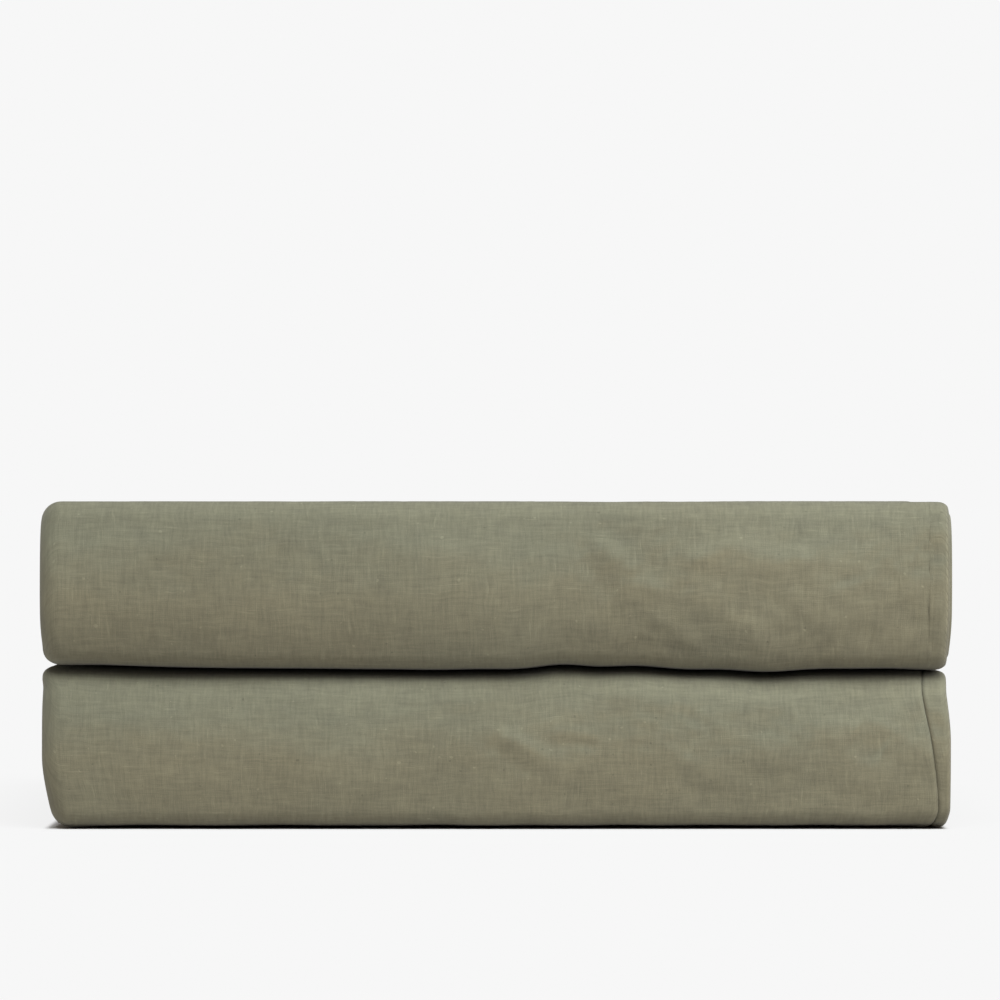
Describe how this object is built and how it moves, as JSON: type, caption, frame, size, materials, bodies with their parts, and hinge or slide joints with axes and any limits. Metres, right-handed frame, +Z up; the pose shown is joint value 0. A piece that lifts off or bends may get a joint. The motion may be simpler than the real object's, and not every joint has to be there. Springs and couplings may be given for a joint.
{
  "type": "folded duvet cover",
  "caption": "Linen duvet cover folded into two stacked bundles joined by a soft spine at the back, so the upper bundle opens backwards.",
  "frame": {"origin": "centre of the face the stack lies on", "axes": "+X along the front folds towards the sewn edges, -Y towards the front folds, +Z up"},
  "size_m": [0.3, 0.2806, 0.1077],
  "materials": {
    "linen": "washed linen, plain weave with slubs, olive grey",
    "seam_linen": "washed linen folded over and stitched",
    "cotton_tape": "natural cotton tape",
    "label_cloth": "blank woven label",
    "coconut_shell": "turned coconut shell"
  },
  "bodies": {
    "lower_half": {"lower_outer_fold": "linen", "lower_inner_fold": "linen", "lower_outer_side_seam": "seam_linen", "lower_inner_side_seam": "seam_linen", "foot_button_band": "linen", "foot_buttonhole_band": "linen", "foot_button_1": "coconut_shell", "foot_button_2": "coconut_shell", "foot_button_3": "coconut_shell", "foot_button_4": "coconut_shell", "foot_button_5": "coconut_shell", "foot_button_6": "coconut_shell", "foot_button_7": "coconut_shell", "foot_button_8": "coconut_shell", "foot_corner_tie_1": "cotton_tape", "foot_corner_tie_2": "cotton_tape", "care_label": "label_cloth"},
    "spine": {"spine_fold": "linen", "spine_side_seam": "seam_linen"},
    "upper_half": {"upper_outer_fold": "linen", "upper_inner_fold": "linen", "upper_outer_side_seam": "seam_linen", "upper_inner_side_seam": "seam_linen", "head_seam": "seam_linen", "head_corner_tie_1": "cotton_tape", "head_corner_tie_2": "cotton_tape"}
  },
  "joints": [
    {"name": "spine_turn", "type": "hinge", "parent": "lower_half", "child": "spine", "pos_m": [0, 0.13365, 0.0066], "axis": [-1, 0, 0], "range_deg": [0, 90]},
    {"name": "upper_half_turn", "type": "hinge", "parent": "spine", "child": "upper_half", "pos_m": [0, 0.13365, 0.1011], "axis": [-1, 0, 0], "range_deg": [0, 90]}
  ],
  "couplings": [
    {"joint": "upper_half_turn", "follows": "spine_turn", "ratio": 1}
  ]
}
